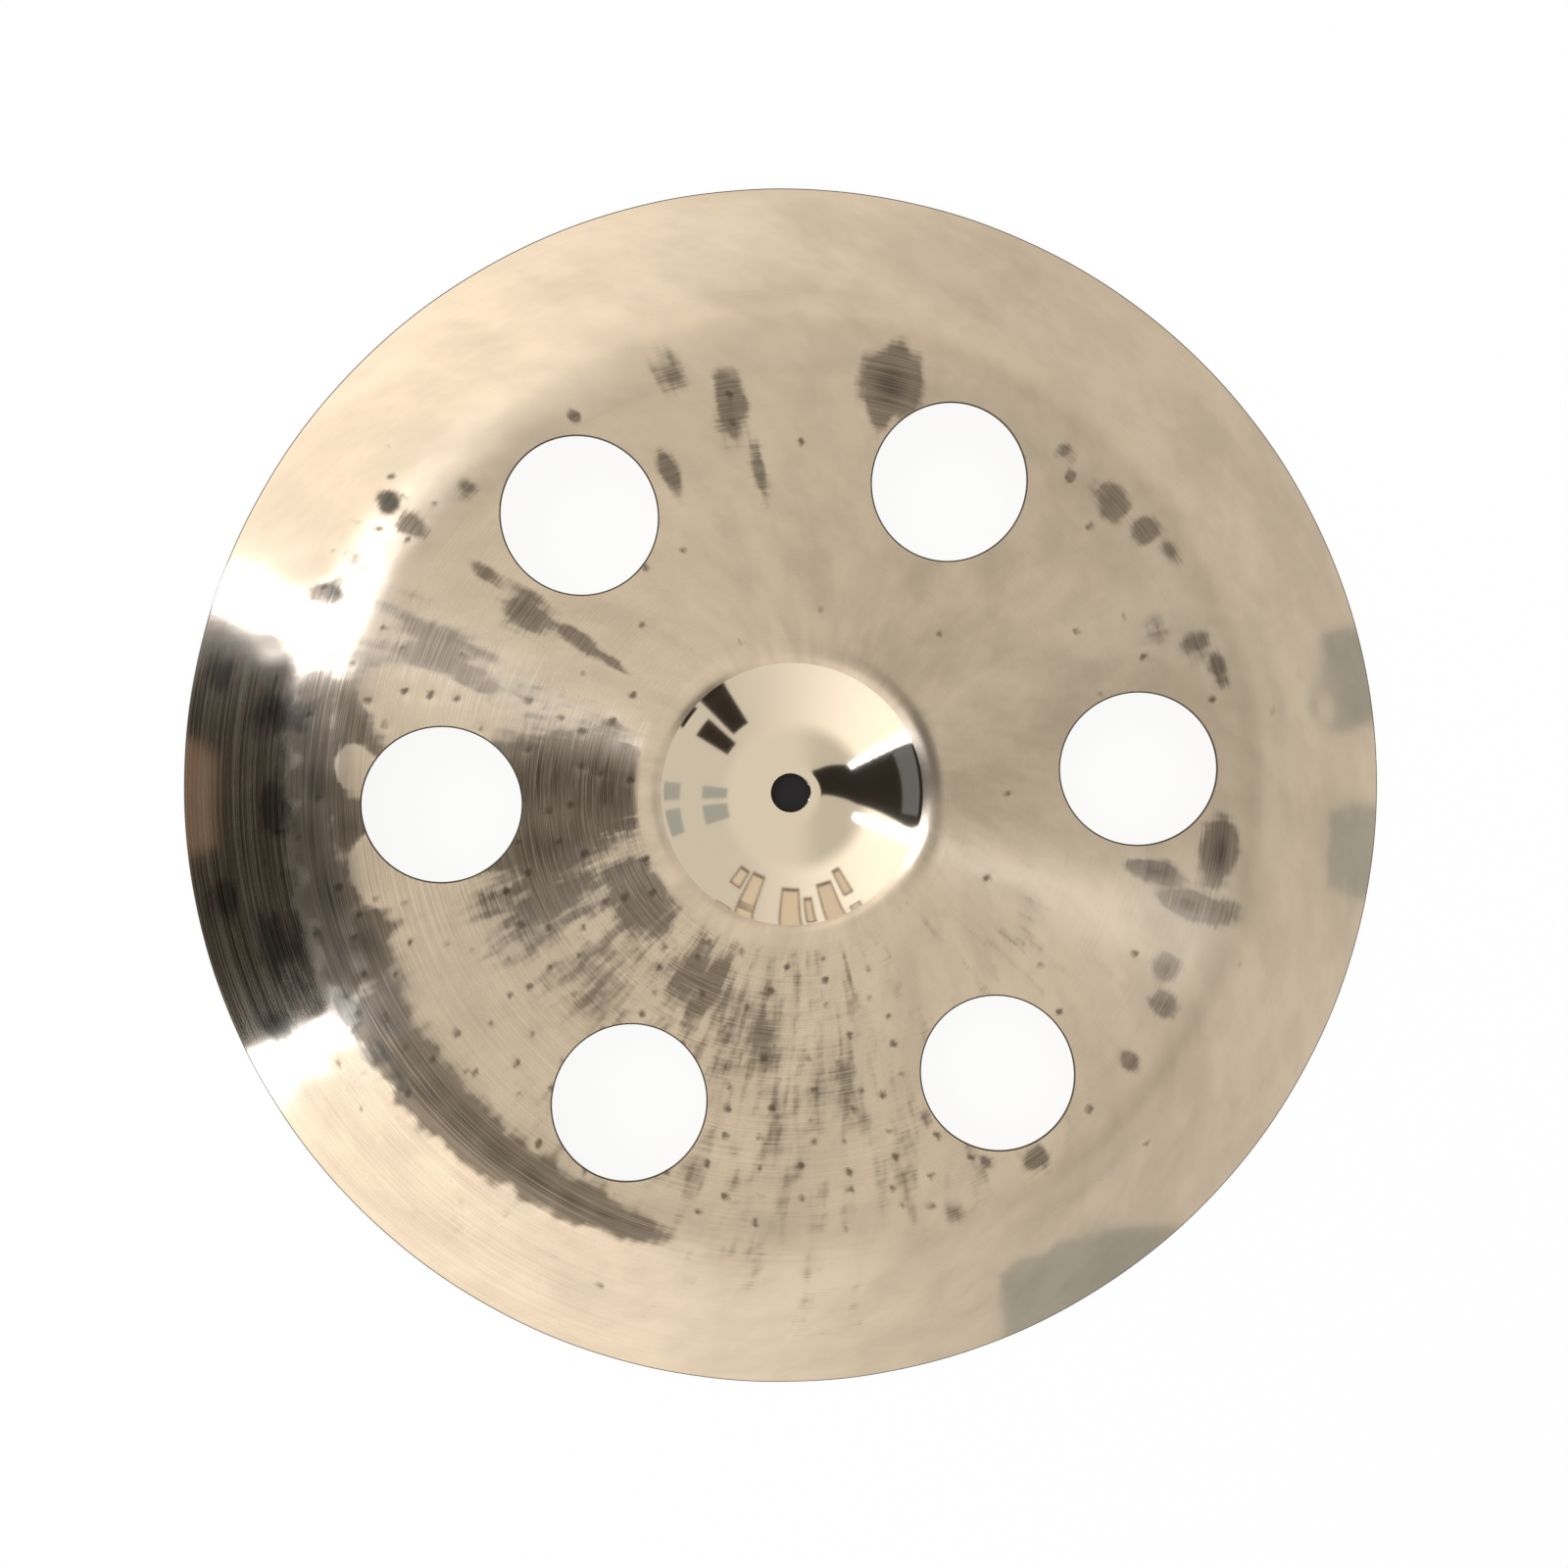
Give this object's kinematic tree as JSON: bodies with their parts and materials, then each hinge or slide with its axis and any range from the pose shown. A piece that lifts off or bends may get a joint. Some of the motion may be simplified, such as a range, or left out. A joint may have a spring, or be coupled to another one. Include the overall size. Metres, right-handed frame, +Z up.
{
  "type": "china cymbal",
  "caption": "Hammered and lathed bronze china cymbal, hollow side up: a dished polished bell, a shallow bow with round ports cut through it, a fold and a flange that falls to the rim.",
  "frame": {"origin": "on the table under the centre hole, with the cymbal lying on its rim, hollow side up and bell hanging down", "axes": "+Z up along the axis of the centre hole, out of the hollow side; +X and +Y to the right and to the top of the pictured disc"},
  "size_m": [0.381, 0.381, 0.027],
  "materials": {
    "bronze": "cast tin bronze, hammered and lathed in fine rings, clear brilliant polish on the bell"
  },
  "bodies": {
    "root": {"cymbal": "bronze"}
  },
  "joints": []
}
